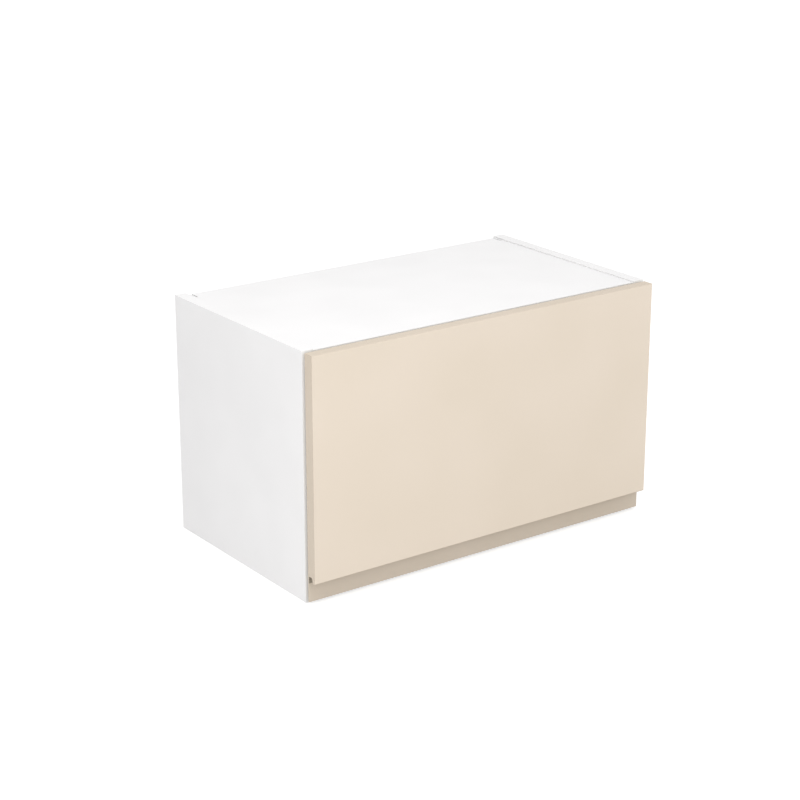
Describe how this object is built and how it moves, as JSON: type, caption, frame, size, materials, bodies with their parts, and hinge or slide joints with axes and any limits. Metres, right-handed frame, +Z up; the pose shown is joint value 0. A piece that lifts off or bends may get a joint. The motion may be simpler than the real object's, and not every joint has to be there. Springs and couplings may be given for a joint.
{
  "type": "lift-up wall cabinet",
  "caption": "Wall cabinet with one lift-up door: white board carcass, cream door with a finger groove, lift linkage and sprung unit on each side, hooks for wall hanging.",
  "frame": {"origin": "middle of the underside of the overall box, door closed", "axes": "+X along the width to the right as seen from the front, +Y from the door to the wall, +Z up"},
  "size_m": [0.6, 0.3524, 0.36],
  "materials": {
    "white_board": "white melamine facing on chipboard, fine matt",
    "white_back": "white melamine facing, matt",
    "beech": "plain turned beech",
    "door_finish": "smooth cream foil on MDF, very matt",
    "clear_buffer": "clear soft polyurethane",
    "zinc_screw": "bright zinc plate",
    "housing_grey": "light grey moulded nylon",
    "cover_white": "white moulded ABS, fine texture",
    "nickel_steel": "nickel-plated pressed steel",
    "rivet_steel": "nickel-plated turned steel",
    "spring_steel": "oil-hardened spring wire",
    "acetal": "natural acetal, smooth",
    "zinc_steel": "zinc-plated pressed steel"
  },
  "bodies": {
    "root": {"left_side_panel": "white_board", "right_side_panel": "white_board", "top_panel": "white_board", "bottom_panel": "white_board", "back_panel": "white_back", "carcass_dowels": "beech", "lift_fixing_screws": "zinc_screw", "hanger_adjusting_screws": "zinc_screw", "left_lift_housing": "housing_grey", "left_lift_cover": "cover_white", "left_guide_pin": "rivet_steel", "left_lift_spring": "spring_steel", "left_spring_seat": "acetal", "left_spring_adjuster": "zinc_screw", "left_hanger_case": "cover_white", "left_hanger_hook": "zinc_steel", "right_lift_housing": "housing_grey", "right_lift_cover": "cover_white", "right_guide_pin": "rivet_steel", "right_lift_spring": "spring_steel", "right_spring_seat": "acetal", "right_spring_adjuster": "zinc_screw", "right_hanger_case": "cover_white", "right_hanger_hook": "zinc_steel"},
    "door": {"door_panel": "door_finish", "door_buffers": "clear_buffer", "bracket_screws": "zinc_screw", "left_door_bracket": "nickel_steel", "right_door_bracket": "nickel_steel", "left_door_bracket_rivets": "rivet_steel", "right_door_bracket_rivets": "rivet_steel"},
    "left_main_lever": {"left_main_lever": "nickel_steel", "left_main_lever_rivets": "rivet_steel", "left_cam_shaft": "rivet_steel"},
    "left_guide_lever": {"left_guide_lever": "nickel_steel", "left_guide_lever_rivet": "rivet_steel"},
    "left_upper_link": {"left_upper_link": "nickel_steel"},
    "left_lower_link": {"left_lower_link": "nickel_steel"},
    "left_carriage": {"left_spring_carriage": "acetal", "left_roller_pin": "rivet_steel"},
    "left_roller": {"left_cam_roller": "acetal"},
    "right_main_lever": {"right_main_lever": "nickel_steel", "right_main_lever_rivets": "rivet_steel", "right_cam_shaft": "rivet_steel"},
    "right_guide_lever": {"right_guide_lever": "nickel_steel", "right_guide_lever_rivet": "rivet_steel"},
    "right_upper_link": {"right_upper_link": "nickel_steel"},
    "right_lower_link": {"right_lower_link": "nickel_steel"},
    "right_carriage": {"right_spring_carriage": "acetal", "right_roller_pin": "rivet_steel"},
    "right_roller": {"right_cam_roller": "acetal"}
  },
  "joints": [
    {"name": "door_lift", "type": "hinge", "parent": "root", "child": "door", "pos_m": [0, -0.15825, 0.3585], "axis": [-1, 0, 0], "range_deg": [0, 100]},
    {"name": "left_main_lever_turn", "type": "hinge", "parent": "root", "child": "left_main_lever", "pos_m": [-0.25475, -0.11324, 0.31882], "axis": [-1, 0, 0], "range_deg": [0, 100]},
    {"name": "left_guide_lever_turn", "type": "hinge", "parent": "root", "child": "left_guide_lever", "pos_m": [-0.25475, -0.08324, 0.29237], "axis": [-1, 0, 0], "range_deg": [0, 100]},
    {"name": "left_upper_link_turn", "type": "hinge", "parent": "left_main_lever", "child": "left_upper_link", "pos_m": [-0.2574, -0.10427, 0.2595], "axis": [-1, 0, 0], "range_deg": [-100, 0]},
    {"name": "left_lower_link_turn", "type": "hinge", "parent": "left_main_lever", "child": "left_lower_link", "pos_m": [-0.2574, -0.09754, 0.215], "axis": [-1, 0, 0], "range_deg": [-100, 0]},
    {"name": "left_carriage_slide", "type": "slide", "parent": "root", "child": "left_carriage", "axis": [0, 0, 1], "range_m": [0, 0.01397], "deforming": ["left_lift_spring"]},
    {"name": "left_roller_spin", "type": "hinge", "parent": "left_carriage", "child": "left_roller", "pos_m": [-0.271, -0.11324, 0.29082], "axis": [-1, 0, 0], "range_deg": [-250, 0]},
    {"name": "right_main_lever_turn", "type": "hinge", "parent": "root", "child": "right_main_lever", "pos_m": [0.25475, -0.11324, 0.31882], "axis": [-1, 0, 0], "range_deg": [0, 100]},
    {"name": "right_guide_lever_turn", "type": "hinge", "parent": "root", "child": "right_guide_lever", "pos_m": [0.25475, -0.08324, 0.29237], "axis": [-1, 0, 0], "range_deg": [0, 100]},
    {"name": "right_upper_link_turn", "type": "hinge", "parent": "right_main_lever", "child": "right_upper_link", "pos_m": [0.2574, -0.10427, 0.2595], "axis": [-1, 0, 0], "range_deg": [-100, 0]},
    {"name": "right_lower_link_turn", "type": "hinge", "parent": "right_main_lever", "child": "right_lower_link", "pos_m": [0.2574, -0.09754, 0.215], "axis": [-1, 0, 0], "range_deg": [-100, 0]},
    {"name": "right_carriage_slide", "type": "slide", "parent": "root", "child": "right_carriage", "axis": [0, 0, 1], "range_m": [0, 0.01397], "deforming": ["right_lift_spring"]},
    {"name": "right_roller_spin", "type": "hinge", "parent": "right_carriage", "child": "right_roller", "pos_m": [0.271, -0.11324, 0.29082], "axis": [-1, 0, 0], "range_deg": [-250, 0]}
  ],
  "couplings": [
    {"joint": "left_main_lever_turn", "follows": "door_lift", "ratio": 1},
    {"joint": "left_guide_lever_turn", "follows": "door_lift", "ratio": 1},
    {"joint": "left_upper_link_turn", "follows": "door_lift", "ratio": -1},
    {"joint": "left_lower_link_turn", "follows": "door_lift", "ratio": -1},
    {"joint": "left_carriage_slide", "follows": "door_lift", "m_per_rad": 0.008},
    {"joint": "left_roller_spin", "follows": "door_lift", "ratio": -2.5},
    {"joint": "right_main_lever_turn", "follows": "door_lift", "ratio": 1},
    {"joint": "right_guide_lever_turn", "follows": "door_lift", "ratio": 1},
    {"joint": "right_upper_link_turn", "follows": "door_lift", "ratio": -1},
    {"joint": "right_lower_link_turn", "follows": "door_lift", "ratio": -1},
    {"joint": "right_carriage_slide", "follows": "door_lift", "m_per_rad": 0.008},
    {"joint": "right_roller_spin", "follows": "door_lift", "ratio": -2.5}
  ]
}
